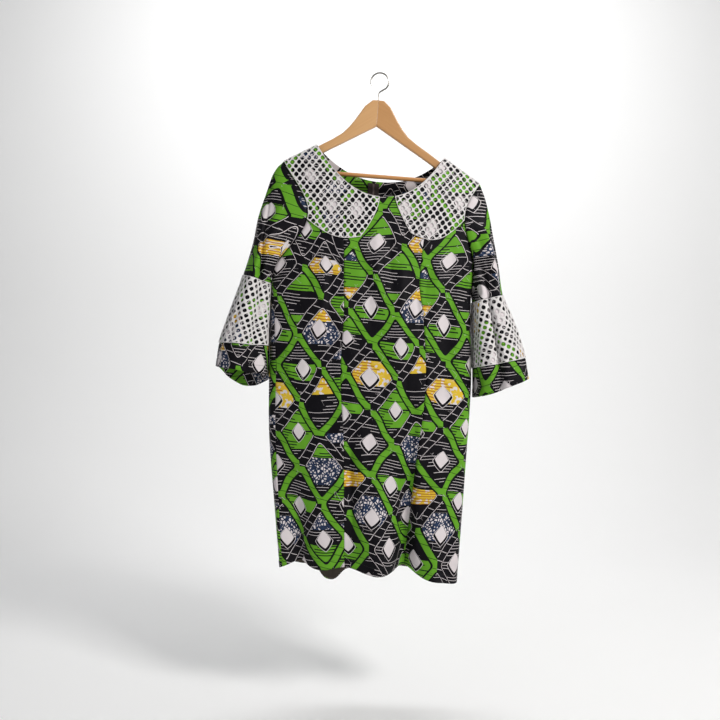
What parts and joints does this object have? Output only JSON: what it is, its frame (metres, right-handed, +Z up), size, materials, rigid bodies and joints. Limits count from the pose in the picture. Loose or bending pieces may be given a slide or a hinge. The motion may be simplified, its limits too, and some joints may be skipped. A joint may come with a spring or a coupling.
{
  "type": "ankara dress on a wooden hanger",
  "caption": "Knee-length green wax-print shift dress with white net yokes and net-trimmed bell sleeves, hanging on a wooden hanger.",
  "frame": {"origin": "where a rail bears inside the top of the hanger's hook", "axes": "+Z up; the dress faces -Y, and its left side as seen from the front is -X; the hanger is tilted so that +X hangs lower"},
  "size_m": [0.7156, 0.187, 1.1748],
  "materials": {
    "print_cloth": "waxed cotton, printed on both faces",
    "net": "matt cotton net",
    "zip_tape": "woven tape",
    "metal": "polished, lightly worn",
    "wood_light": "clear varnish",
    "wood_dark": "clear varnish"
  },
  "bodies": {
    "dress_on_hanger": {"front_centre": "print_cloth", "front_side_left": "print_cloth", "front_side_right": "print_cloth", "back_left": "print_cloth", "back_right": "print_cloth", "sleeve_left": "print_cloth", "sleeve_right": "print_cloth", "flounce_left": "print_cloth", "flounce_right": "print_cloth", "net_flounce_left": "net", "net_flounce_right": "net", "cuff_left": "print_cloth", "cuff_right": "print_cloth", "yoke_net_left": "net", "yoke_net_right": "net", "zip_tape_left": "zip_tape", "zip_tape_right": "zip_tape", "zip_slider": "metal", "hanger_arm_left": "wood_light", "hanger_arm_right": "wood_dark", "hanger_bar": "wood_light", "hanger_hook": "metal"},
    "zip_tab": {"zip_pull": "metal"}
  },
  "joints": [
    {"name": "pull_swing", "type": "hinge", "parent": "dress_on_hanger", "child": "zip_tab", "pos_m": [-0.01611, 0.04035, -0.26051], "axis": [0.9995, -0.0067, -0.0296], "range_deg": [0, 150]}
  ]
}
